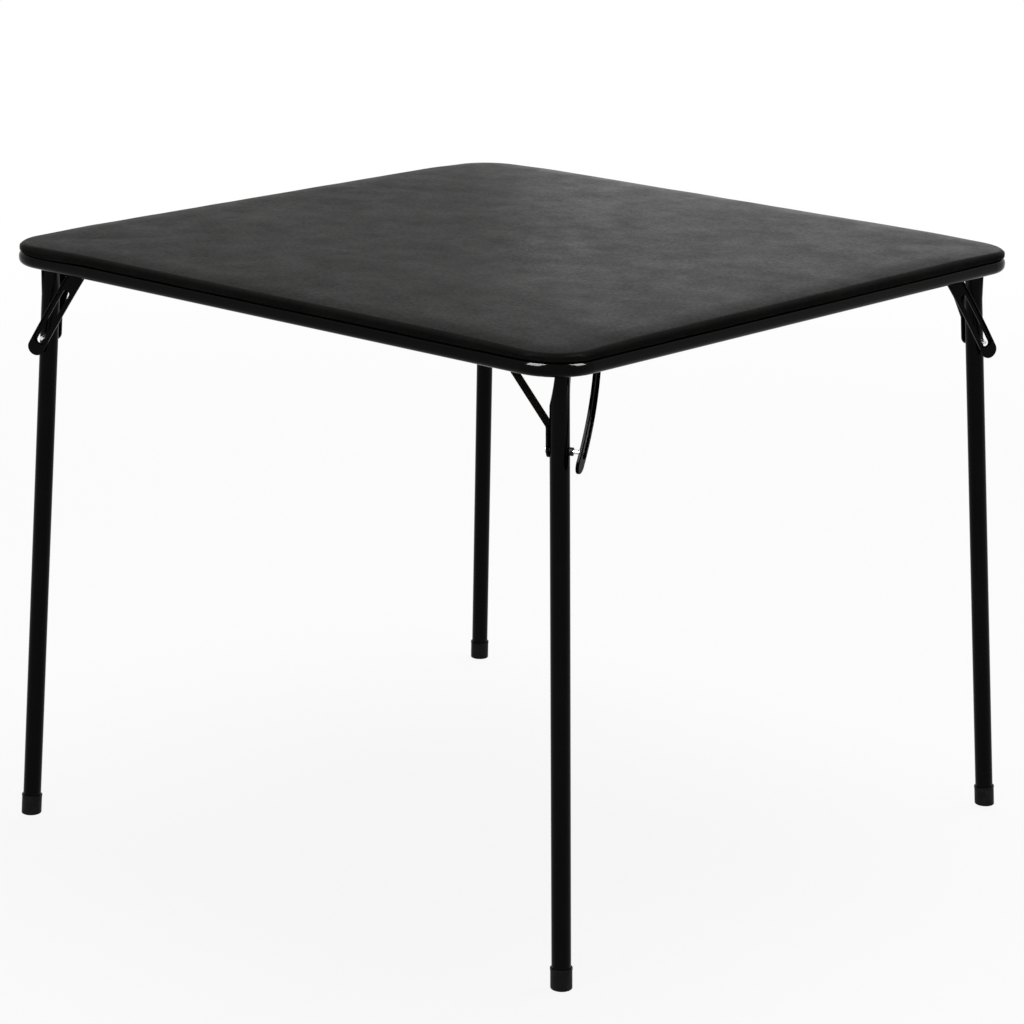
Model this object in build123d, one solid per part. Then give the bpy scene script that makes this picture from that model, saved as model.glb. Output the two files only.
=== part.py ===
from build123d import *
import math
import os

os.makedirs("parts", exist_ok=True)

# Folding card table, millimetres. Origin on the floor under the middle of the top, +Z up.
# Standing pose: four legs down and locked. -Y and +X are the sides that meet at the near corner.

# the table as a whole
table_side = 864.0
table_height = 711.0
corner_radius = 55.0

# padded top: vinyl cover over foam over board
cover_thickness = 1.0
foam_thickness = 7.0
board_thickness = 4.0
pad_inset = 1.0
layer_gap = 0.2
foam_edge_radius = 5.5
cover_low_radius = 0.6
hem_width = 13.0

# frame rail: one bent tube with a butt seam and a sleeve inside it
rail_height = 17.0
rail_depth = 16.0
rail_wall = 1.2
rail_outer_radius = 7.5
rail_inner_radius = 2.5
seam_offset = 100.0
seam_gap = 0.4
sleeve_length = 60.0
sleeve_gap = 0.15

# screws up through the rail into the board
board_screw_pitch = 262.0
board_screw_inset = 10.5
board_screws_per_side = 3
board_screw_radius = 1.9
board_screw_bite = 3.0
access_hole_radius = 3.7
screw_head_radius = 2.9
screw_head_height = 1.7
screw_recess_width = 0.9
screw_recess_depth = 0.8
screw_gap = 0.06

# legs
leg_diameter = 21.6
leg_wall = 1.2
pivot_inset = 39.3
leg_shift_sideways = 5.0
fold_plane_turn = 21.0
crimp_length = 34.0
crimp_start = 8.0
crimp_side = 3.0
crimp_corner_radius = 3.6
crimp_slit_width = 3.6
crimp_finger = 3.4
crimp_slit_length = 28.0

# how each leg stands on its loose pivots: shares of the inset and the sideways shift, angles in degrees
corners = ("front_right", "front_left", "back_right", "back_left")
inset_shares = {"front_right": 1.0, "front_left": 1.0, "back_right": 1.0, "back_left": 1.1}
shift_shares = {"front_right": 1.0, "front_left": 1.0, "back_right": 1.0, "back_left": 0.07}
splay_out = {"front_right": 1.3, "front_left": 2.2, "back_right": 4.1, "back_left": 3.7}
lean_sideways = {"front_right": 2.0, "front_left": 2.3, "back_right": 1.8, "back_left": 1.8}
slot_splay = 2.8

# foot caps
cap_radius = 12.1
cap_length = 24.0
cap_floor = 3.0
cap_gap = 0.1
cap_lip_height = 2.2
cap_lip_width = 0.3
cap_edge_radius = 1.4

# corner brackets
bracket_thickness = 1.6
bracket_gap = 0.1
bracket_lip_clearance = 3.0
bracket_long_reach = 116.0
bracket_short_reach = 94.0
bracket_tail_width = 32.0
ear_radius = 7.5
ear_gap = 0.4
fold_gap = 0.6

# pivots
rivet_radius = 2.5
rivet_head_radius = 4.4
rivet_head_height = 1.8
running_gap = 0.06

# strap beside each leg
strap_lateral = 50.0
strap_width = 17.0
strap_inset = 1.7
strap_thickness = 2.5
strap_tab = 9.0
strap_join = 64.0
strap_bend_radius = 5.0
strap_gap = 0.05

# lock pin and its collar
pin_drop = 90.0
pin_radius = 2.3
pin_head_radius = 4.2
pin_head_height = 1.6
pin_end_gap = 0.4
collar_radius = 4.5
collar_length = 3.6
collar_gap = 0.25

# slotted brace
brace_inward = 50.0
brace_lateral = 24.3
brace_width = 20.5
brace_depth = 3.8
brace_web = 1.4
brace_flange = 1.6
brace_bow = 4.2
brace_tip = 22.0
brace_rim_radius = 1.1
slot_width = 8.0
slot_upper_room = 1.4
slot_lower_room = 1.2
pocket_end_room = 6.0

# bracket screws
bracket_screw_radius = 1.9
bracket_screw_reach = 5.0
rail_screw_height_share = 0.5
long_side_screw_shares = (0.44, 0.92)
short_side_screw_shares = (0.5, 0.93)
board_side_screw_shares = ((0.53, 0.24), (0.12, 0.88))

overrun = 5.0

# levels, worked out downwards from the top
foam_top = table_height - cover_thickness
board_top = foam_top - foam_thickness
board_low = board_top - board_thickness
rail_top = board_low - cover_thickness
rail_low = rail_top - rail_height
leg_radius = leg_diameter / 2
plate_low = board_low - bracket_thickness
pivot_height = plate_low - fold_gap - leg_radius
rail_middle = table_side / 2 - rail_depth / 2
rail_inside = table_side / 2 - rail_depth
pad_side = table_side - 2 * pad_inset
board_side = pad_side - 2 * cover_thickness
board_radius = corner_radius - pad_inset - cover_thickness

# the slotted brace meets the pin in the standing pose
out_angle = -45.0 - fold_plane_turn
most_slant = math.radians(max(lean_sideways.values()))


def pin_from_brace(splay):
    # distance and angle from the vertical of the standing pin, seen from the brace's pivot
    pin_out = pin_drop * math.sin(math.radians(splay))
    pin_down = pin_drop * math.cos(math.radians(splay))
    angle = math.degrees(math.atan2(brace_inward + pin_out, pin_down))
    return math.hypot(brace_inward + pin_out, pin_down), angle


brace_to_pin = pin_from_brace(slot_splay)[0]
brace_length = brace_to_pin + brace_tip
folded_pin = pin_drop - brace_inward


def pivot_place(corner):
    # the leg pivot, in from the rail's inner corner, written for the front right corner
    shift = leg_shift_sideways * shift_shares[corner]
    diagonal = math.sqrt(2.0)
    inset = pivot_inset * inset_shares[corner] / diagonal
    return rail_inside - inset + shift / diagonal, inset - rail_inside + shift / diagonal


def slant_of(corner):
    return math.radians(lean_sideways[corner])


def reach_of(corner):
    # from the pivot down the leg to the floor
    return pivot_height / (math.cos(slant_of(corner)) * math.cos(math.radians(splay_out[corner])))


def rounded_block(side, radius, low, high):
    outline = RectangleRounded(side, side, radius)
    return Pos(0, 0, low) * extrude(outline, high - low)


def upright(radius, low, high):
    turned = Cylinder(radius, high - low, align=(Align.CENTER, Align.CENTER, Align.MIN))
    return Pos(0, 0, low) * turned


def crosswise(radius, low, high, x=0.0, z=0.0):
    # a cylinder along Y from low to high
    rod = Cylinder(radius, high - low, align=(Align.CENTER, Align.CENTER, Align.MIN))
    return Pos(x, low, z) * Rot(-90, 0, 0) * rod


def outline_plate(face, low, high):
    # a face drawn with x and z, made solid along Y from low to high
    solid = extrude(face, high - low)
    return Pos(0, high, 0) * Rot(90, 0, 0) * solid


def side_plate(face, width):
    # a face drawn with y and z, made solid along x to both sides
    return Pos(-width / 2, 0, 0) * extrude(Plane.YZ * face, width)


def long_hole(from_z, to_z, radius, low, high):
    # a rounded bar outline between two heights on the z axis
    middle = (from_z + to_z) / 2
    face = Pos(0, middle) * Rot(0, 0, 90) * SlotCenterToCenter(abs(from_z - to_z), 2 * radius)
    return outline_plate(face, low, high)


def top_edges(solid):
    return solid.faces().sort_by(Axis.Z)[-1].edges()


# padded top

def screw_places():
    places = []
    edge = table_side / 2 - board_screw_inset
    middle = (board_screws_per_side - 1) / 2
    for number in range(board_screws_per_side):
        along = (number - middle) * board_screw_pitch
        places += [(along, -edge), (edge, along), (along, edge), (-edge, along)]
    return places


def make_foam():
    block = rounded_block(board_side, board_radius, board_top, foam_top)
    return fillet(top_edges(block), foam_edge_radius)


def make_board():
    board = rounded_block(board_side, board_radius, board_low, board_top)
    hole = upright(board_screw_radius + screw_gap, board_low, board_low + board_screw_bite)
    for x, y in screw_places():
        board -= Pos(x, y) * hole
    hole = upright(bracket_screw_radius + screw_gap, board_low, board_low + board_screw_bite)
    for x, y in bracket_board_screws():
        for place in all_corners(Pos(x, y) * hole):
            board -= place
    return board


def make_cover():
    outer_radius = board_radius + cover_thickness
    outer = rounded_block(pad_side, outer_radius, rail_top, table_height)
    outer = fillet(top_edges(outer), foam_edge_radius + cover_thickness)
    outer = fillet(outer.faces().sort_by(Axis.Z)[0].edges(), cover_low_radius)
    room_side = board_side + 2 * layer_gap
    room = rounded_block(room_side, board_radius + layer_gap, board_low, foam_top)
    room = fillet(top_edges(room), foam_edge_radius + layer_gap)
    open_side = pad_side - 2 * hem_width
    opening = rounded_block(open_side, outer_radius - hem_width, rail_top - overrun, board_low)
    cover = outer - room - opening
    for x, y in screw_places():
        cover -= Pos(x, y) * upright(board_screw_radius + screw_gap, rail_top - overrun, board_low)
    return cover


# frame rail

def rail_section(shrink):
    face = Rectangle(rail_depth - 2 * shrink, rail_height - 2 * shrink)
    outer = [v for v in face.vertices() if v.X < 0]
    face = fillet(outer, rail_outer_radius - shrink)
    inner = [v for v in face.vertices() if v.X > rail_depth / 2 - shrink - screw_gap]
    return fillet(inner, rail_inner_radius - shrink)


def rail_path():
    start = (rail_middle, seam_offset + seam_gap / 2)
    end = (rail_middle, seam_offset - seam_gap / 2)
    h = rail_middle
    points = [start, (h, h), (-h, h), (-h, -h), (h, -h), end]
    level = (rail_top + rail_low) / 2
    return Pos(0, 0, level) * FilletPolyline(*points, radius=corner_radius - rail_depth / 2)


def make_rail():
    path = rail_path()
    level = (rail_top + rail_low) / 2
    start = (rail_middle, seam_offset + seam_gap / 2, level)
    across = Plane(origin=start, x_dir=(-1, 0, 0), z_dir=(0, 1, 0))
    tube = sweep(across * rail_section(0), path=path) - sweep(across * rail_section(rail_wall), path=path)
    roof = rail_top - rail_wall
    for x, y in screw_places():
        tube -= Pos(x, y) * upright(access_hole_radius, rail_low - overrun, roof - screw_head_height)
        tube -= Pos(x, y) * upright(board_screw_radius + screw_gap, roof - overrun, rail_top + overrun)
    for drill in bracket_rail_holes():
        for place in all_corners(drill):
            tube -= place
    return tube


def make_sleeve():
    level = (rail_top + rail_low) / 2
    start = (rail_middle, seam_offset - sleeve_length / 2, level)
    across = Plane(origin=start, x_dir=(-1, 0, 0), z_dir=(0, 1, 0))
    return extrude(across * rail_section(rail_wall + sleeve_gap), sleeve_length)


# screws

def make_screw(radius, length):
    # head below zero, shank above it
    head = upright(screw_head_radius, -screw_head_height, 0)
    head = fillet(head.faces().sort_by(Axis.Z)[0].edges(), screw_head_height / 2)
    arm = 2 * (screw_head_radius - screw_recess_width)
    base = (Align.CENTER, Align.CENTER, Align.MIN)
    for turn in (0, 90):
        recess = Box(arm, screw_recess_width, screw_recess_depth, align=base)
        head -= Pos(0, 0, -screw_head_height) * Rot(0, 0, turn) * recess
    return head + upright(radius, 0, length)


def make_board_screws():
    length = rail_wall + cover_thickness + board_screw_bite - screw_gap
    screw = make_screw(board_screw_radius, length)
    return [Pos(x, y, rail_top - rail_wall) * screw for x, y in screw_places()]


# corner frames: x points out, y points to the brace's side, z up, origin at the leg pivot

def at_pivot(solid, corner):
    x, y = pivot_place(corner)
    return Pos(x, y, pivot_height) * Rot(0, 0, out_angle) * solid


def all_corners(solid):
    return [to_corner(solid, name) for name in corners]


def to_corner(solid, name):
    if name.endswith("left"):
        solid = Rot(0, 0, -90) * solid
    if name.startswith("back"):
        solid = mirror(solid, about=Plane.XZ)
    return solid


# legs

def lean(solid, corner):
    # from the tube's own axis to the leg's sideways lean
    return Rot(lean_sideways[corner], 0, 0) * solid


def stand(solid, corner):
    # from the middle of the fold plane to the standing splay
    return Rot(0, -splay_out[corner], 0) * solid


def make_leg_tube(corner):
    leg_reach = reach_of(corner)
    crimp_low = crimp_start + crimp_length
    tube = upright(leg_radius, cap_floor - leg_reach, -crimp_low)
    bore_high = -crimp_low - leg_wall
    tube -= upright(leg_radius - leg_wall, -leg_reach, bore_high)
    depth = leg_radius + crimp_side
    flat = RectangleRounded(leg_diameter - leg_wall, depth, crimp_corner_radius)
    flat = Pos(0, leg_radius - depth / 2) * flat
    neck = loft([Pos(0, 0, -crimp_low) * Circle(leg_radius), Pos(0, 0, -crimp_start) * flat])
    head = Pos(0, 0, -crimp_start) * extrude(flat, crimp_start + leg_diameter)
    leg = lean(tube + neck + head, corner)
    # round the upper end about the pivot so that it clears the plate as it turns
    round_end = crosswise(leg_radius, -leg_diameter, leg_diameter)
    block_base = (Align.CENTER, Align.CENTER, Align.MAX)
    below = Box(2 * leg_diameter, 4 * strap_lateral, 2 * leg_reach, align=block_base)
    leg = leg & (round_end + below)
    leg -= crosswise(rivet_radius + running_gap, -leg_diameter, leg_diameter)
    leg -= crosswise(pin_radius + screw_gap, -leg_diameter, 2 * leg_diameter, z=-pin_drop)
    slit_out = leg_radius - crimp_finger
    slit_low = -(crimp_slit_length + crimp_slit_width)
    corner_points = [(slit_out, leg_diameter), (slit_out - crimp_slit_width, leg_diameter)]
    corner_points += [(slit_out - crimp_slit_width, -crimp_slit_width), (slit_out, slit_low)]
    slit = make_face(Polyline(*corner_points, close=True))
    leg -= outline_plate(slit, -leg_diameter, leg_diameter)
    return stand(leg, corner)


def make_strap(corner):
    gap = leg_radius + strap_gap + strap_thickness / 2
    slant = slant_of(corner)

    def beside(s):
        return (s * math.sin(slant) - gap * math.cos(slant), -s * math.cos(slant) - gap * math.sin(slant))
    top = (-strap_lateral, 2 * strap_width)
    tab = (-strap_lateral, -strap_tab)
    spine = FilletPolyline(top, tab, beside(strap_join), beside(pin_drop + 2 * strap_width),
                           radius=strap_bend_radius)
    band = trace(spine, strap_thickness)
    bar = side_plate(band, 2 * strap_width)
    blank = long_hole(0, -pin_drop, strap_width / 2, -2 * strap_lateral, strap_lateral)
    bar = bar & (Pos(-strap_inset, 0, 0) * blank)
    bar -= crosswise(rivet_radius + running_gap, -2 * strap_lateral, -strap_lateral / 2)
    bar -= crosswise(pin_radius + screw_gap, -strap_lateral, 0, z=-pin_drop)
    return stand(bar, corner)


def pin_side(distance, corner):
    # y at the pin's height of a surface that lies this far from the tube's axis
    slant = slant_of(corner)
    return pin_drop * math.tan(slant) + distance / math.cos(slant)


def web_at(s):
    # y of the brace's leg side face, s along the brace from its pivot
    half = (brace_length + brace_width / 2) / 2
    middle = half - brace_width / 2
    return brace_lateral + brace_bow * (1 - ((s - middle) / half) ** 2)


def make_pin(corner):
    head_high = pin_side(-leg_radius - strap_gap - strap_thickness, corner) - collar_gap
    end = min(web_at(brace_to_pin), web_at(folded_pin)) - pin_end_gap
    pin = crosswise(pin_radius, head_high, end, z=-pin_drop)
    head = crosswise(pin_head_radius, head_high - pin_head_height, head_high, z=-pin_drop)
    head = fillet(head.faces().sort_by(Axis.Y)[0].edges(), pin_head_height / 2)
    return stand(pin + head, corner)


def make_collar(corner):
    start = pin_side(leg_radius, corner) + collar_gap
    ring = crosswise(collar_radius, start, start + collar_length, z=-pin_drop)
    ring -= crosswise(pin_radius + screw_gap, start - overrun, start + collar_length + overrun, z=-pin_drop)
    return stand(ring, corner)


def make_cap(corner):
    leg_reach = reach_of(corner)
    top = cap_length - leg_reach
    cup = upright(cap_radius, -leg_reach - overrun, top)
    cup += upright(cap_radius + cap_lip_width, top - cap_lip_height, top)
    cup -= upright(leg_radius + cap_gap, cap_floor - leg_reach, top + overrun)
    cup = stand(lean(cup, corner), corner)
    floor_box = Box(4 * leg_reach, 4 * leg_reach, leg_reach, align=(Align.CENTER, Align.CENTER, Align.MAX))
    cup -= Pos(0, 0, -pivot_height) * floor_box
    return fillet(cup.faces().sort_by(Axis.Z)[0].edges(), cap_edge_radius)


# slotted brace

def make_brace(corner):
    low = -brace_length
    high = brace_width / 2
    middle = (low + high) / 2

    def bowed(near, deep):
        inner = ThreePointArc((near, high), (near + brace_bow, middle), (near, low))
        outer = ThreePointArc((deep, high), (deep + brace_bow, middle), (deep, low))
        rim = [Line((near, high), (deep, high)), Line((near, low), (deep, low))]
        face = make_face([inner, outer] + rim)
        return side_plate(face, 2 * brace_width)
    reach = 4 * brace_lateral
    end = brace_width / 2 - brace_length
    web_deep = brace_lateral + brace_depth
    blank = bowed(brace_lateral, web_deep) & long_hole(0, end, brace_width / 2, 0, reach)
    blank = fillet(blank.edges().group_by(Axis.Z)[0], brace_rim_radius)
    pocket_radius = brace_width / 2 - brace_flange
    pocket_low = pocket_radius - brace_to_pin - pocket_end_room
    pocket = long_hole(0, pocket_low, pocket_radius, 0, reach)
    pocket = bowed(brace_lateral + brace_web, web_deep + overrun) & pocket
    slot_high = -folded_pin + slot_upper_room
    slot = long_hole(slot_high, -brace_to_pin - slot_lower_room, slot_width / 2, 0, reach)
    brace = blank - pocket - slot
    brace -= crosswise(rivet_radius + running_gap, 0, reach)
    angle = pin_from_brace(splay_out[corner])[1]
    return Pos(-brace_inward, 0, 0) * Rot(0, -angle, 0) * brace


# pivot rivets

def make_rivet(low, high, x=0.0):
    rod = crosswise(rivet_radius, low, high, x=x)
    for start, outside in ((low - rivet_head_height, 0), (high, -1)):
        head = crosswise(rivet_head_radius, start, start + rivet_head_height, x=x)
        face = head.faces().sort_by(Axis.Y)[outside]
        rod += fillet(face.edges(), rivet_head_height / 2)
    return rod


crimp_slack = leg_radius * math.sin(most_slant) + ear_gap
leg_ear_high = leg_radius + crimp_slack
leg_ear_low = -crimp_side - crimp_slack - bracket_thickness
strap_ear = -strap_lateral - strap_thickness / 2 - ear_gap - bracket_thickness
brace_ear = brace_lateral - ear_gap - bracket_thickness


def make_leg_rivet():
    return make_rivet(leg_ear_low - running_gap, leg_ear_high + bracket_thickness + running_gap)


def make_strap_rivet():
    return make_rivet(strap_ear - running_gap, -strap_lateral + strap_thickness / 2 + running_gap)


def make_brace_rivet():
    inside = web_at(rivet_head_radius) + brace_web + ear_gap
    return make_rivet(brace_ear - running_gap, inside, x=-brace_inward)


# corner bracket

def corner_outline():
    side = rail_inside
    points = [(side, -side), (side, bracket_long_reach - side)]
    points += [(side - bracket_tail_width, bracket_long_reach - side)]
    points += [(side - bracket_short_reach, bracket_tail_width - side), (side - bracket_short_reach, -side)]
    return make_face(Polyline(*points, close=True))


def bracket_board_screws():
    reach_x = bracket_short_reach
    reach_y = bracket_long_reach
    return [(rail_inside - reach_x * a, reach_y * b - rail_inside) for a, b in board_side_screw_shares]


def bracket_rail_screws():
    # place and turn about z of each screw that goes level into the rail
    height = rail_low + rail_height * rail_screw_height_share
    face = rail_inside - bracket_gap - bracket_thickness
    places = []
    for share in long_side_screw_shares:
        places.append((Pos(face, bracket_long_reach * share - rail_inside, height), 0))
    for share in short_side_screw_shares:
        places.append((Pos(rail_inside - bracket_short_reach * share, -face, height), -90))
    return places


def bracket_rail_holes():
    drill = upright(bracket_screw_radius + screw_gap, -overrun, bracket_screw_reach + overrun)
    return [place * Rot(0, 0, turn) * Rot(0, 90, 0) * drill for place, turn in bracket_rail_screws()]


def make_ear(low, x=0.0):
    stem_high = plate_low - pivot_height
    stem = Box(2 * ear_radius, bracket_thickness, stem_high, align=(Align.CENTER, Align.MIN, Align.MIN))
    ear = Pos(x, low, 0) * stem + crosswise(ear_radius, low, low + bracket_thickness, x=x)
    return ear - crosswise(rivet_radius + running_gap, low - overrun, low + overrun, x=x)


def make_bracket(corner):
    room_radius = corner_radius - rail_depth
    plate = extrude(corner_outline(), bracket_thickness)
    within = rounded_block(2 * (rail_inside - bracket_gap), room_radius - bracket_gap, plate_low, board_low)
    bracket = (Pos(0, 0, plate_low) * plate) & within
    lip_low = rail_low + bracket_lip_clearance
    wall_side = rail_inside - bracket_gap - bracket_thickness
    lip = rounded_block(2 * (rail_inside - bracket_gap), room_radius - bracket_gap, lip_low, board_low)
    lip -= rounded_block(2 * wall_side, room_radius - bracket_gap - bracket_thickness, lip_low - overrun,
                         board_low + overrun)
    lip = lip & (Pos(0, 0, rail_low) * extrude(corner_outline(), rail_height + overrun))
    bracket += lip
    for low, x in ((leg_ear_low, 0), (leg_ear_high, 0), (strap_ear, 0), (brace_ear, -brace_inward)):
        bracket += at_pivot(make_ear(low, x), corner)
    screw_hole = upright(bracket_screw_radius + screw_gap, plate_low - overrun, board_low + overrun)
    for x, y in bracket_board_screws():
        bracket -= Pos(x, y) * screw_hole
    for drill in bracket_rail_holes():
        bracket -= drill
    return bracket


# screws that hold the brackets

def make_bracket_rail_screws():
    screw = make_screw(bracket_screw_radius, bracket_screw_reach)
    solids = []
    for place, turn in bracket_rail_screws():
        solids += all_corners(place * Rot(0, 0, turn) * Rot(0, 90, 0) * screw)
    return solids


def make_bracket_board_screws():
    screw = make_screw(bracket_screw_radius, bracket_thickness + board_screw_bite - screw_gap)
    solids = []
    for x, y in bracket_board_screws():
        solids += all_corners(Pos(x, y, plate_low) * screw)
    return solids


# every piece of a corner that sits at its leg pivot

def corner_pieces(corner):
    return {
        "leg_rivet": make_leg_rivet(),
        "strap_rivet": make_strap_rivet(),
        "brace_rivet": make_brace_rivet(),
        "slotted_brace": make_brace(corner),
        "leg_tube": make_leg_tube(corner),
        "leg_strap": make_strap(corner),
        "lock_pin": make_pin(corner),
        "pin_collar": make_collar(corner),
        "foot_cap": make_cap(corner),
    }


# write every piece

def write(name, solid):
    if isinstance(solid, list):
        solid = Compound([s for part in solid for s in part.solids()])
    export_step(solid, "parts/" + name + ".step")


write("top_cover", make_cover())
write("foam_pad", make_foam())
write("board", make_board())
write("frame_rail", make_rail())
write("rail_sleeve", make_sleeve())
write("board_screws", make_board_screws())
write("bracket_rail_screws", make_bracket_rail_screws())
write("bracket_board_screws", make_bracket_board_screws())

for corner in corners:
    write(corner + "_bracket", to_corner(make_bracket(corner), corner))
    for piece, solid in corner_pieces(corner).items():
        write(corner + "_" + piece, to_corner(at_pivot(solid, corner), corner))
    x, y = pivot_place(corner)
    reach, angle = pin_from_brace(splay_out[corner])
    print(corner, "pivot", round(x, 3), round(y, 3), "brace to pin", round(reach, 3), round(angle, 3))

print("pivot height", round(pivot_height, 3), "folded pin", round(folded_pin, 3))
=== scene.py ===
import bpy
import math
from mathutils import Matrix, Vector, noise


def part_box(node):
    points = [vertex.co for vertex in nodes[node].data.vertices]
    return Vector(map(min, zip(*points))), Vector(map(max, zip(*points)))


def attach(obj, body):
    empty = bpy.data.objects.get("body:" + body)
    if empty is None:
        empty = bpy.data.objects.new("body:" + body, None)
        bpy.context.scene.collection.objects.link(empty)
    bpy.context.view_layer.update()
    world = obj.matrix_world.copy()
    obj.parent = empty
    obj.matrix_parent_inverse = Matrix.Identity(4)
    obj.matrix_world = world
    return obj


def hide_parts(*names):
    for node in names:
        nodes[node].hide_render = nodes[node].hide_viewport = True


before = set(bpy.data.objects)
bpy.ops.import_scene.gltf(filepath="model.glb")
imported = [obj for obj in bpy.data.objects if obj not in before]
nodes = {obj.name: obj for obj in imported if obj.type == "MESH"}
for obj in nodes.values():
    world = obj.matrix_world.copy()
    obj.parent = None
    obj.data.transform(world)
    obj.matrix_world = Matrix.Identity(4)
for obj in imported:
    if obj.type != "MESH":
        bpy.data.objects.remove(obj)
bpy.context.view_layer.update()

# Folding card table: padded vinyl top, bent steel rail, four folding legs with slotted braces.
# Metres, origin on the floor under the middle of the top, +Z up.

bpy.ops.object.select_all(action="DESELECT")
print("frame loaded,", len(nodes), "nodes")


# small helpers

def startEdit(piece):
    bpy.ops.object.select_all(action="DESELECT")
    bpy.context.view_layer.objects.active = piece
    piece.select_set(True)
    bpy.ops.object.mode_set(mode="EDIT")


def endEdit():
    bpy.ops.object.mode_set(mode="OBJECT")


def selectEdges(piece, test):
    # in edit mode, pick the edges whose two ends both pass the test
    bpy.ops.mesh.select_mode(type="EDGE")
    bpy.ops.mesh.select_all(action="DESELECT")
    endEdit()
    places = [v.co.copy() for v in piece.data.vertices]
    for edge in piece.data.edges:
        edge.select = all(test(places[i]) for i in edge.vertices)
    bpy.ops.object.mode_set(mode="EDIT")


def applyModifiers(piece):
    bpy.ops.object.select_all(action="DESELECT")
    bpy.context.view_layer.objects.active = piece
    piece.select_set(True)
    for name in [m.name for m in piece.modifiers]:
        bpy.ops.object.modifier_apply(modifier=name)


# camera at the photograph's view

cameraView = {
    "azimuth": 40.63,
    "elevation": 15.43,
    "roll": 1.23,
    "distance": 4.12109,
    "target": (0.00841, -0.00853, 0.380),
    "focalPixels": 3401.82,
    "imagePixels": 1024,
    "sensor": 36.0,
    "farthest": 200,
}


def towards(azimuth, elevation):
    # unit vector from the table to a viewer at this azimuth and elevation
    a, e = math.radians(azimuth), math.radians(elevation)
    return Vector((math.sin(a) * math.cos(e), -math.cos(a) * math.cos(e), math.sin(e)))


def makeCamera(view):
    bpy.ops.object.camera_add()
    camera = bpy.context.object
    camera.name = "photoCamera"
    back = towards(view["azimuth"], view["elevation"])
    turn = math.radians(view["azimuth"])
    level = Vector((math.cos(turn), math.sin(turn), 0))
    upright = back.cross(level)
    roll = math.radians(view["roll"])
    right = math.cos(roll) * level + math.sin(roll) * upright
    up = math.cos(roll) * upright - math.sin(roll) * level
    place = Vector(view["target"]) + view["distance"] * back
    turned = Matrix((right, up, back)).transposed().to_4x4()
    camera.matrix_world = Matrix.Translation(place) @ turned
    camera.data.sensor_width = view["sensor"]
    camera.data.lens = view["focalPixels"] / view["imagePixels"] * view["sensor"]
    camera.data.clip_end = view["farthest"]
    bpy.context.scene.camera = camera


makeCamera(cameraView)
print("camera set")


# lights, floor and background

# side: degrees round from the camera, height: degrees up, away: metres from the aim, power: watts
# the cards are seen only in gloss, the other two only light the colours
studioLamps = [
    {"name": "cardLeft", "side": -43, "height": 47, "away": 3.2, "width": 1.4, "tall": 2.0,
     "power": 980, "onlyGloss": True},
    {"name": "cardRight", "side": 61, "height": 47, "away": 3.2, "width": 1.0, "tall": 1.9,
     "power": 660, "onlyGloss": True},
    {"name": "cardBack", "side": 169, "height": 9, "away": 3.2, "width": 1.2, "tall": 0.8,
     "power": 4.2, "onlyGloss": True},
    {"name": "overhead", "side": 150, "height": 74, "away": 3.4, "width": 3.0, "tall": 2.6,
     "power": 110, "onlyGloss": False},
    {"name": "frontFill", "side": -30, "height": 30, "away": 4.5, "width": 2.6, "tall": 2.0,
     "power": 26, "onlyGloss": False},
]

surround = {
    "lampAim": (0, 0, 0.6),
    "background": 1.0,
    "fillLevel": 0.2,
    "floorColour": (0.9, 0.9, 0.9, 1),
    "floorSize": 60.0,
    "floorClean": 0.9,
    "fadeSpan": (1.2, 4.0),
}


def makeLights():
    for light in studioLamps:
        out = towards(cameraView["azimuth"] + light["side"], light["height"])
        place = Vector(surround["lampAim"]) + light["away"] * out
        bpy.ops.object.light_add(type="AREA", location=place)
        lamp = bpy.context.object
        lamp.name = light["name"]
        lamp.data.shape = "RECTANGLE"
        lamp.data.size = light["width"]
        lamp.data.size_y = light["tall"]
        lamp.data.energy = light["power"]
        lamp.visible_diffuse = not light["onlyGloss"]
        lamp.visible_glossy = light["onlyGloss"]
        lamp.rotation_mode = "QUATERNION"
        lamp.rotation_quaternion = (-out).to_track_quat("-Z", "Y")


noiseSpan = (0.3, 0.7)  # where nearly all of a noise lies


def ranged(tree, value, low, high, span=noiseSpan, smooth=False):
    # a value carried from its span to the range from low to high, and held at both ends
    level = tree.nodes.new("ShaderNodeMapRange")
    if smooth:
        level.interpolation_type = "SMOOTHSTEP"
    ends = {"From Min": span[0], "From Max": span[1], "To Min": low, "To Max": high}
    for name, end in ends.items():
        level.inputs[name].default_value = end
    tree.links.new(value, level.inputs["Value"])
    return level.outputs["Result"]


def product(tree, first, second):
    times = tree.nodes.new("ShaderNodeMath")
    times.operation = "MULTIPLY"
    tree.links.new(first, times.inputs[0])
    tree.links.new(second, times.inputs[1])
    return times.outputs["Value"]


def total(tree, first, second):
    plus = tree.nodes.new("ShaderNodeMath")
    tree.links.new(first, plus.inputs[0])
    tree.links.new(second, plus.inputs[1])
    return plus.outputs["Value"]


def mixShaders(tree, share, first, second):
    mix = tree.nodes.new("ShaderNodeMixShader")
    tree.links.new(share, mix.inputs["Fac"])
    tree.links.new(first, mix.inputs[1])
    tree.links.new(second, mix.inputs[2])
    return mix.outputs["Shader"]


def shownRays(tree):
    # 1 for the rays that show the background: straight from the camera, mirrored or through glass
    path = tree.nodes.new("ShaderNodeLightPath")
    share = path.outputs["Is Camera Ray"]
    for name in ("Is Glossy Ray", "Is Transmission Ray"):
        share = total(tree, share, path.outputs[name])
    limit = tree.nodes.new("ShaderNodeClamp")
    tree.links.new(share, limit.inputs["Value"])
    return limit.outputs["Result"]


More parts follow.
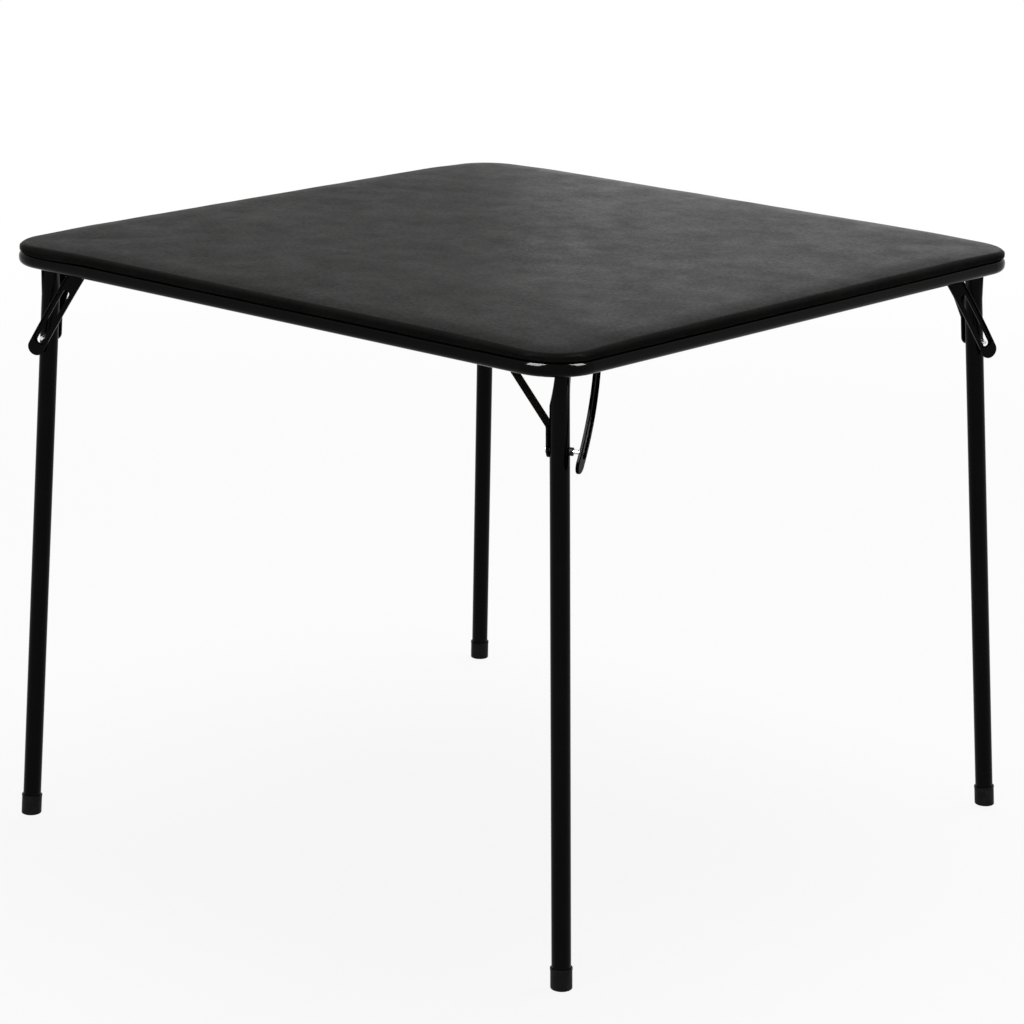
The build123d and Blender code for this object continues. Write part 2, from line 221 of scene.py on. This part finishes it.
def makeWorld():
    # white wherever it is seen or mirrored, and a dim even fill for the rest
    world = bpy.data.worlds.new("studio")
    bpy.context.scene.world = world
    world.use_nodes = True
    tree = world.node_tree
    tree.nodes.clear()
    add, link = tree.nodes.new, tree.links.new
    fill = add("ShaderNodeBackground")
    fill.inputs["Strength"].default_value = surround["fillLevel"]
    white = add("ShaderNodeBackground")
    white.inputs["Color"].default_value = (1, 1, 1, 1)
    white.inputs["Strength"].default_value = surround["background"]
    seen = mixShaders(tree, shownRays(tree), fill.outputs["Background"], white.outputs["Background"])
    link(seen, add("ShaderNodeOutputWorld").inputs["Surface"])


def makeFloor():
    # pale paper that keeps the shadow and turns to the plain background farther off
    bpy.ops.mesh.primitive_plane_add(size=surround["floorSize"], location=(0, 0, 0))
    floor = bpy.context.object
    floor.name = "studioFloor"
    material = bpy.data.materials.new("floorPaper")
    material.use_nodes = True
    tree = material.node_tree
    tree.nodes.clear()
    add, link = tree.nodes.new, tree.links.new
    reach = add("ShaderNodeVectorMath")
    reach.operation = "LENGTH"
    link(add("ShaderNodeTexCoord").outputs["Object"], reach.inputs[0])
    away = reach.outputs["Value"]
    clean = ranged(tree, away, surround["floorClean"], 1, surround["fadeSpan"], smooth=True)
    share = product(tree, clean, shownRays(tree))
    paper = add("ShaderNodeBsdfDiffuse")
    paper.inputs["Color"].default_value = surround["floorColour"]
    glow = add("ShaderNodeEmission")
    glow.inputs["Strength"].default_value = surround["background"]
    seen = mixShaders(tree, share, paper.outputs["BSDF"], glow.outputs["Emission"])
    link(seen, add("ShaderNodeOutputMaterial").inputs["Surface"])
    floor.data.materials.append(material)


bpy.context.scene.view_settings.view_transform = "Standard"
makeLights()
makeWorld()
makeFloor()
print("lights, world and floor made")


# finishes
# a noise is written as scale, detail, roughness and, for fibres and streaks, a stretch along X, Y, Z
# a bump is written as strength and depth in metres

def newFinish(name, colour, metallic=0.0, specular=0.5):
    # a material with one Principled shader, and what its nodes need to read a place on the piece
    material = bpy.data.materials.new(name)
    material.use_nodes = True
    tree = material.node_tree
    shader = tree.nodes["Principled BSDF"]
    shader.inputs["Base Color"].default_value = (*colour, 1)
    shader.inputs["Metallic"].default_value = metallic
    shader.inputs["Specular IOR Level"].default_value = specular
    place = tree.nodes.new("ShaderNodeTexCoord")
    return material, tree, shader, place.outputs["Object"]


def noiseAt(tree, place, scale, detail, rough=0.5, stretch=None):
    source = place
    if stretch:
        mapping = tree.nodes.new("ShaderNodeMapping")
        mapping.inputs["Scale"].default_value = stretch
        tree.links.new(place, mapping.inputs["Vector"])
        source = mapping.outputs["Vector"]
    pattern = tree.nodes.new("ShaderNodeTexNoise")
    pattern.inputs["Scale"].default_value = scale
    pattern.inputs["Detail"].default_value = detail
    pattern.inputs["Roughness"].default_value = rough
    tree.links.new(source, pattern.inputs["Vector"])
    return pattern.outputs["Fac"]


def mixColours(tree, share, first, second):
    mix = tree.nodes.new("ShaderNodeMix")
    mix.data_type = "RGBA"
    tree.links.new(share, mix.inputs["Factor"])
    for socket, colour in ((mix.inputs[6], first), (mix.inputs[7], second)):
        if isinstance(colour, tuple):
            socket.default_value = (*colour, 1)
        else:
            tree.links.new(colour, socket)
    return mix.outputs[2]


def bumpOn(tree, height, strength, depth, under=None):
    bump = tree.nodes.new("ShaderNodeBump")
    bump.inputs["Strength"].default_value = strength
    bump.inputs["Distance"].default_value = depth
    tree.links.new(height, bump.inputs["Height"])
    if under:
        tree.links.new(under, bump.inputs["Normal"])
    return bump.outputs["Normal"]


vinylLook = {
    "colour": (0.0075, 0.0073, 0.007),
    "worn": (0.0135, 0.013, 0.0124),
    "wornCloud": (9.0, 5.0, 0.62),
    "grain": 780.0,
    "grainSoftness": 0.4,
    "grainBump": (0.35, 0.00016),
    "pebble": (300.0, 2.0),
    "pebbleBump": (0.25, 0.00032),
    "handled": (22.0, 6.0, 0.7),
    "rough": (0.29, 0.40),
    "mottle": (240.0, 5.0, 0.65),
    "shine": (0.0036, 0.0104),
    "sideFrom": 0.0085,
    "sideTo": 0.003,
    "sideShine": 0.22,
    "sideSmooth": 0.12,
}


def vinylFinish(look):
    # leatherette: close pebbled grain with fine creases between, a little uneven in gloss
    finish, tree, shader, place = newFinish("vinyl", look["colour"])
    cells = tree.nodes.new("ShaderNodeTexVoronoi")
    cells.feature = "SMOOTH_F1"
    cells.inputs["Scale"].default_value = look["grain"]
    cells.inputs["Smoothness"].default_value = look["grainSoftness"]
    tree.links.new(place, cells.inputs["Vector"])
    grain = bumpOn(tree, cells.outputs["Distance"], *look["grainBump"])
    skin = bumpOn(tree, noiseAt(tree, place, *look["pebble"]), *look["pebbleBump"], grain)
    cloud = ranged(tree, noiseAt(tree, place, *look["wornCloud"]), 0, 1)
    shade = mixColours(tree, cloud, look["colour"], look["worn"])
    shine = ranged(tree, noiseAt(tree, place, *look["mottle"]), *look["shine"])
    rough = ranged(tree, noiseAt(tree, place, *look["handled"]), *look["rough"])
    # the sides are less handled: duller there, and drawn smoother
    above = tree.nodes.new("ShaderNodeSeparateXYZ")
    tree.links.new(place, above.inputs["Vector"])
    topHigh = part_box("top_cover")[1].z
    span = (topHigh - look["sideFrom"], topHigh - look["sideTo"])
    duller = ranged(tree, above.outputs["Z"], look["sideShine"], 1, span, smooth=True)
    smoother = ranged(tree, above.outputs["Z"], -look["sideSmooth"], 0, span, smooth=True)
    tree.links.new(shade, shader.inputs["Base Color"])
    tree.links.new(product(tree, shine, duller), shader.inputs["Specular IOR Level"])
    tree.links.new(total(tree, rough, smoother), shader.inputs["Roughness"])
    tree.links.new(skin, shader.inputs["Normal"])
    return finish


enamelLook = {
    "colour": (0.0016, 0.0016, 0.0016),
    "dust": (0.0034, 0.0034, 0.0032),
    "dustCloud": (14.0, 5.0, 0.6),
    "dustSpan": (0.45, 0.75),
    "rub": (60.0, 4.0, 0.6),
    "rough": (0.07, 0.13),
    "peel": (260.0, 2.0),
    "peelBump": (0.3, 0.00006),
    "shine": 0.044,
}
# the brace at the nearest corner is duller than the other three
rubbedLook = {**enamelLook, "rough": (0.16, 0.26), "shine": 0.012}


def enamelFinish(name, look):
    # sprayed gloss enamel: orange peel, a haze of dust and rubbed patches
    finish, tree, shader, place = newFinish(name, look["colour"], specular=look["shine"])
    cloud = ranged(tree, noiseAt(tree, place, *look["dustCloud"]), 0, 1, look["dustSpan"])
    shade = mixColours(tree, cloud, look["colour"], look["dust"])
    rough = ranged(tree, noiseAt(tree, place, *look["rub"]), *look["rough"])
    peel = bumpOn(tree, noiseAt(tree, place, *look["peel"]), *look["peelBump"])
    tree.links.new(shade, shader.inputs["Base Color"])
    tree.links.new(rough, shader.inputs["Roughness"])
    tree.links.new(peel, shader.inputs["Normal"])
    return finish


zincLook = {
    "bright": (0.66, 0.66, 0.64),
    "dull": (0.42, 0.42, 0.4),
    "streak": (420.0, 4.0, 0.6, (1, 1, 5)),
    "rough": (0.2, 0.42),
    "bump": (0.15, 0.00005),
}


def zincFinish(look):
    # bright plated steel with fine streaks and duller spots
    finish, tree, shader, place = newFinish("zincPlate", look["bright"], metallic=1.0)
    streak = noiseAt(tree, place, *look["streak"])
    shade = mixColours(tree, ranged(tree, streak, 0, 1), look["bright"], look["dull"])
    tree.links.new(shade, shader.inputs["Base Color"])
    tree.links.new(ranged(tree, streak, *look["rough"]), shader.inputs["Roughness"])
    tree.links.new(bumpOn(tree, streak, *look["bump"]), shader.inputs["Normal"])
    return finish


capLook = {
    "colour": (0.009, 0.009, 0.009),
    "scuffed": (0.02, 0.02, 0.019),
    "scuff": (90.0, 6.0, 0.7),
    "scuffSpan": (0.5, 0.8),
    "rough": (0.36, 0.54),
    "grain": (900.0, 2.0),
    "grainBump": (0.3, 0.00008),
    "shine": 0.05,
}
collarLook = {
    **capLook,
    "colour": (0.012, 0.012, 0.012),
    "scuffed": (0.02, 0.02, 0.02),
    "rough": (0.44, 0.62),
    "grain": (1200.0, 2.0),
}


def plasticFinish(name, look):
    # moulded plastic with a fine spark-eroded grain and pale scuffs
    finish, tree, shader, place = newFinish(name, look["colour"], specular=look["shine"])
    scuff = noiseAt(tree, place, *look["scuff"])
    share = ranged(tree, scuff, 0, 1, look["scuffSpan"])
    shade = mixColours(tree, share, look["colour"], look["scuffed"])
    grain = bumpOn(tree, noiseAt(tree, place, *look["grain"]), *look["grainBump"])
    tree.links.new(shade, shader.inputs["Base Color"])
    tree.links.new(ranged(tree, scuff, *look["rough"]), shader.inputs["Roughness"])
    tree.links.new(grain, shader.inputs["Normal"])
    return finish


boardLook = {
    "dark": (0.06, 0.04, 0.025),
    "light": (0.1, 0.068, 0.043),
    "fleck": (0.04, 0.026, 0.016),
    "fibres": (160.0, 8.0, 0.7, (1, 3.5, 1)),
    "fibreSpan": (0.35, 0.7),
    "fibreBump": (0.4, 0.00025),
    "crossed": (150.0, 8.0, 0.7, (3.5, 1, 1)),
    "fleckSpan": (0.6, 0.75),
    "screen": 130.0,
    "screenBump": (0.15, 0.0001),
    "rough": 0.75,
    "shine": 0.3,
}


def fibreboardFinish(look):
    # pressed brown fibreboard: matted fibres, darker flecks, a faint screen print from the press
    finish, tree, shader, place = newFinish("fibreboard", look["light"], specular=look["shine"])
    shader.inputs["Roughness"].default_value = look["rough"]
    fibres = noiseAt(tree, place, *look["fibres"])
    share = ranged(tree, fibres, 0, 1, look["fibreSpan"])
    base = mixColours(tree, share, look["dark"], look["light"])
    crossed = noiseAt(tree, place, *look["crossed"])
    flecked = mixColours(tree, ranged(tree, crossed, 0, 1, look["fleckSpan"]), base, look["fleck"])
    waves = tree.nodes.new("ShaderNodeTexWave")
    waves.bands_direction = "DIAGONAL"
    waves.inputs["Scale"].default_value = look["screen"]
    tree.links.new(place, waves.inputs["Vector"])
    screen = bumpOn(tree, waves.outputs["Fac"], *look["screenBump"])
    tree.links.new(flecked, shader.inputs["Base Color"])
    tree.links.new(bumpOn(tree, fibres, *look["fibreBump"], screen), shader.inputs["Normal"])
    return finish


vinyl = vinylFinish(vinylLook)
enamel = enamelFinish("blackEnamel", enamelLook)
zinc = zincFinish(zincLook)

# each node takes the last of these finishes whose name ends its own
nodeFinishes = {
    "board": fibreboardFinish(boardLook),
    "frame_rail": enamel,
    "rail_sleeve": zinc,
    "screws": zinc,
    "rivet": zinc,
    "bracket": enamel,
    "slotted_brace": enamel,
    "front_right_slotted_brace": enamelFinish("rubbedEnamel", rubbedLook),
    "leg_tube": enamel,
    "leg_strap": enamel,
    "lock_pin": zinc,
    "pin_collar": plasticFinish("collarPlastic", collarLook),
    "foot_cap": plasticFinish("capPlastic", capLook),
}

for name, node in nodes.items():
    for ending, finish in nodeFinishes.items():
        if name.endswith(ending):
            node.data.materials.clear()
            node.data.materials.append(finish)
print("finishes made")


# padded top: vinyl drawn over foam and turned under the board's edge

topSizes = {
    "cornerRadius": 0.054,
    "edgeRadius": 0.0075,
    "pillowWidth": 0.04,
    "pillowDrop": 0.003,
    "lowRadius": 0.0012,
    "hemWidth": 0.013,
    "hemThickness": 0.0009,
    "boardClear": 0.0001,
    "gridSteps": 47,
    "borderRows": 9,
    "edgeSteps": 7,
    "cornerSteps": 16,
    "weld": 0.00001,
    "smoothAngle": 60,
    "cornerFrom": 0.09,
    "cornerDrop": 0.0028,
    "waveSize": 0.16,
    "waveDepth": 0.00045,
    "rippleSize": 0.045,
    "rippleDepth": 0.00035,
    "rippleAside": 5,
    "padAbove": 0.001,
    "hemSag": 0.0005,
    "hemMean": 0.5,
    "hemReach": 0.004,
    "hemLayer": 3,
    "lipFrom": -0.425,
    "lipTo": -0.285,
    "lipOut": 0.0022,
    "lipDown": 0.0016,
    "lipDeep": 0.005,
    "lipTall": 0.006,
    "pleatDepth": 0.0005,
    "pleatTall": 0.0002,
    "pleatCount": 11,
}

clothSettings = {
    "frames": 20,
    "quality": 6,
    "mass": 0.4,
    "stretching": 40,
    "shearing": 20,
    "bending": 6,
    "pressure": 4.0,
    "mostMove": 0.0009,
    "heldBelow": 0.003,
}


def edgeProfile(sizes, half, high, low):
    # outward distance and height of each row, from the flat top round to the inside of the hem
    inner = half - sizes["cornerRadius"]
    bend = sizes["edgeRadius"]

    def pillow(out):
        share = max(0, 1 - (half - out) / sizes["pillowWidth"])
        return high - sizes["pillowDrop"] * share * share

    rows = []
    for number in range(1, sizes["borderRows"] + 1):
        out = inner + number / sizes["borderRows"] * (half - bend - inner)
        rows.append((out, pillow(out)))
    crest = rows[-1][1]
    for number in range(1, sizes["edgeSteps"] + 1):
        angle = math.pi / 2 * number / sizes["edgeSteps"]
        rows.append((half - bend + bend * math.sin(angle), crest - bend + bend * math.cos(angle)))
    # the side down to its small lower bend
    small = sizes["lowRadius"]
    cut = small * (1 - math.sqrt(0.5))
    rows.append((half, (crest - bend + low + small) / 2))
    rows.append((half, low + small))
    rows.append((half - cut, low + cut))
    rows.append((half - small, low))
    # in under the board, up round the hem's edge, and back over the board
    hem = half - sizes["hemWidth"]
    hemHigh = low + sizes["hemThickness"]
    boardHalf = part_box("board")[1].x + sizes["boardClear"]
    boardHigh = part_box("board")[1].z + sizes["boardClear"]
    rows.append((half - sizes["hemWidth"] / 2, low))
    rows.append((hem, low))
    rows.append((hem, hemHigh))
    rows.append((boardHalf, hemHigh))
    rows.append((boardHalf, boardHigh))
    rows.append((inner, boardHigh))
    return rows


def makeTopShell(sizes):
    # one quarter: a grid, its two borders extruded row by row, the corner spun; then mirrored both ways
    lowCorner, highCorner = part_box("top_cover")
    half, high, low = highCorner.x, highCorner.z, lowCorner.z
    inner = half - sizes["cornerRadius"]
    near = sizes["weld"]
    steps = sizes["gridSteps"]
    bpy.ops.object.select_all(action="DESELECT")
    bpy.ops.mesh.primitive_grid_add(x_subdivisions=steps, y_subdivisions=steps, size=inner,
                                    location=(inner / 2, inner / 2, high))
    top = bpy.context.object
    top.name = "padded_top"
    bpy.ops.object.transform_apply(location=True, rotation=True, scale=True)
    rows = edgeProfile(sizes, half, high, low)
    startEdit(top)
    for axis in (0, 1):
        selectEdges(top, lambda p: abs(p[axis] - inner) < near and p[1 - axis] < inner + near)
        last = (inner, high)
        for row in rows:
            move = [0, 0, row[1] - last[1]]
            move[axis] = row[0] - last[0]
            bpy.ops.mesh.extrude_region_move(TRANSFORM_OT_translate={"value": move})
            last = row
    selectEdges(top, lambda p: abs(p.y - inner) < near and p.x > inner - near)
    bpy.ops.mesh.spin(steps=sizes["cornerSteps"], angle=-math.pi / 2, center=(inner, inner, high),
                      axis=(0, 0, 1))
    bpy.ops.mesh.select_all(action="SELECT")
    bpy.ops.mesh.remove_doubles(threshold=near)
    endEdit()
    mirror = top.modifiers.new("bothWays", "MIRROR")
    mirror.use_axis = (True, True, False)
    mirror.merge_threshold = near
    applyModifiers(top)
    startEdit(top)
    bpy.ops.mesh.select_all(action="SELECT")
    bpy.ops.mesh.remove_doubles(threshold=near)
    # close the inner face, over the board
    bpy.ops.mesh.select_mode(type="EDGE")
    bpy.ops.mesh.select_all(action="DESELECT")
    bpy.ops.mesh.select_non_manifold()
    bpy.ops.mesh.edge_face_add()
    bpy.ops.mesh.select_all(action="SELECT")
    bpy.ops.mesh.normals_make_consistent(inside=False)
    endEdit()
    return top, half, high, low


def swellTop(top, high, settings):
    # the foam presses the vinyl up: a short cloth simulation, held at the rim and hem
    held = top.vertex_groups.new(name="held")
    before = [v.co.copy() for v in top.data.vertices]
    fixed = [i for i, p in enumerate(before) if p.z < high - settings["heldBelow"]]
    held.add(fixed, 1.0, "REPLACE")
    cloth = top.modifiers.new("swell", "CLOTH")
    cloth.settings.quality = settings["quality"]
    cloth.settings.mass = settings["mass"]
    cloth.settings.tension_stiffness = settings["stretching"]
    cloth.settings.compression_stiffness = settings["stretching"]
    cloth.settings.shear_stiffness = settings["shearing"]
    cloth.settings.bending_stiffness = settings["bending"]
    cloth.settings.use_pressure = True
    cloth.settings.uniform_pressure_force = settings["pressure"]
    cloth.settings.vertex_group_mass = "held"
    cloth.settings.effector_weights.gravity = 0
    cloth.collision_settings.use_collision = False
    cloth.collision_settings.use_self_collision = False
    cloth.point_cache.frame_start = 1
    cloth.point_cache.frame_end = settings["frames"]
    scene = bpy.context.scene
    for number in range(1, settings["frames"] + 1):
        scene.frame_set(number)
    applyModifiers(top)
    scene.frame_set(1)
    lifts = [v.co.z - p.z for v, p in zip(top.data.vertices, before)]
    most = max(lifts)
    print("swell before it is scaled down: highest", round(most * 1000, 2), "mm")
    # the swell keeps its shape, scaled so that its highest point rises by mostMove
    scaled = min(1, settings["mostMove"] / most)
    for v, p, lift in zip(top.data.vertices, before, lifts):
        v.co = (p.x, p.y, p.z + scaled * max(0, lift))
    top.vertex_groups.clear()


def bumpShape(value, low, high):
    # smooth rise and fall between two places, 0 outside them
    if value <= low or value >= high:
        return 0
    return math.sin(math.pi * (value - low) / (high - low)) ** 2


def inFromSide(p, half, radius):
    # how far a point lies in from the top's outline, round the corners too
    inner = half - radius
    over = math.hypot(max(0, abs(p.x) - inner), max(0, abs(p.y) - inner))
    return radius - over if over > 0 else half - max(abs(p.x), abs(p.y))


def cornerShare(p, inner, sizes):
    # 0 away from the corners, rising smoothly to 1 on each corner's arc
    start = inner - sizes["cornerFrom"]
    end = inner + sizes["cornerRadius"] * math.sqrt(0.5)
    share = min(1, max(0, (min(abs(p.x), abs(p.y)) - start) / (end - start)))
    return share * share * (3 - 2 * share)


def drift(p, size, aside=0, layer=0):
    # unevenness of this size, between -1 and 1 and the same each run
    return noise.noise(Vector((p.x + aside, p.y, layer)) / size)


def easeTop(top, half, high, low, sizes):
    # real upholstery: slow waves, ripples at the rim, a wandering hem with pleats, a lip that stands off
    inner = half - sizes["cornerRadius"]
    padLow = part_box("board")[1].z + sizes["padAbove"]
    for v in top.data.vertices:
        p = v.co
        near = inFromSide(p, half, sizes["cornerRadius"])
        outside = near < sizes["hemReach"]
        if p.z > padLow:
            rim = max(0, 1 - near / sizes["pillowWidth"])
            wave = sizes["waveDepth"] * drift(p, sizes["waveSize"]) * (1 - rim)
            ripple = sizes["rippleDepth"] * drift(p, sizes["rippleSize"], sizes["rippleAside"]) * rim
            p.z += wave + ripple
            p.z -= sizes["cornerDrop"] * cornerShare(p, inner, sizes) * (p.z - low) / (high - low)
        if outside and p.z < low + sizes["hemReach"]:
            wander = drift(p, sizes["rippleSize"], layer=sizes["hemLayer"])
            p.z -= sizes["hemSag"] * (sizes["hemMean"] + wander)
        if p.y < -half + sizes["lipDeep"] and p.z < low + sizes["lipTall"]:
            lip = bumpShape(p.x, sizes["lipFrom"], sizes["lipTo"])
            p.y -= sizes["lipOut"] * lip
            p.z -= sizes["lipDown"] * lip
        cornerX, cornerY = abs(p.x) - inner, abs(p.y) - inner
        inCorner = cornerX > 0 and cornerY > 0
        if inCorner and not outside and p.z < low + sizes["pleatTall"]:
            turn = math.atan2(cornerY, cornerX)
            p.z -= sizes["pleatDepth"] * math.sin(turn * 4 * sizes["pleatCount"]) ** 2


def makeTop(sizes):
    top, half, high, low = makeTopShell(sizes)
    swellTop(top, high, clothSettings)
    easeTop(top, half, high, low, sizes)
    startEdit(top)
    bpy.ops.mesh.select_all(action="SELECT")
    bpy.ops.mesh.normals_make_consistent(inside=False)
    endEdit()
    bpy.ops.object.shade_smooth_by_angle(angle=math.radians(sizes["smoothAngle"]))
    top.data.materials.append(vinyl)
    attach(top, "root")
    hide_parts("top_cover", "foam_pad")
    return top


paddedTop = makeTop(topSizes)
print("padded top made,", len(paddedTop.data.polygons), "faces")


# bring the scene's placements up to date

bpy.context.view_layer.update()
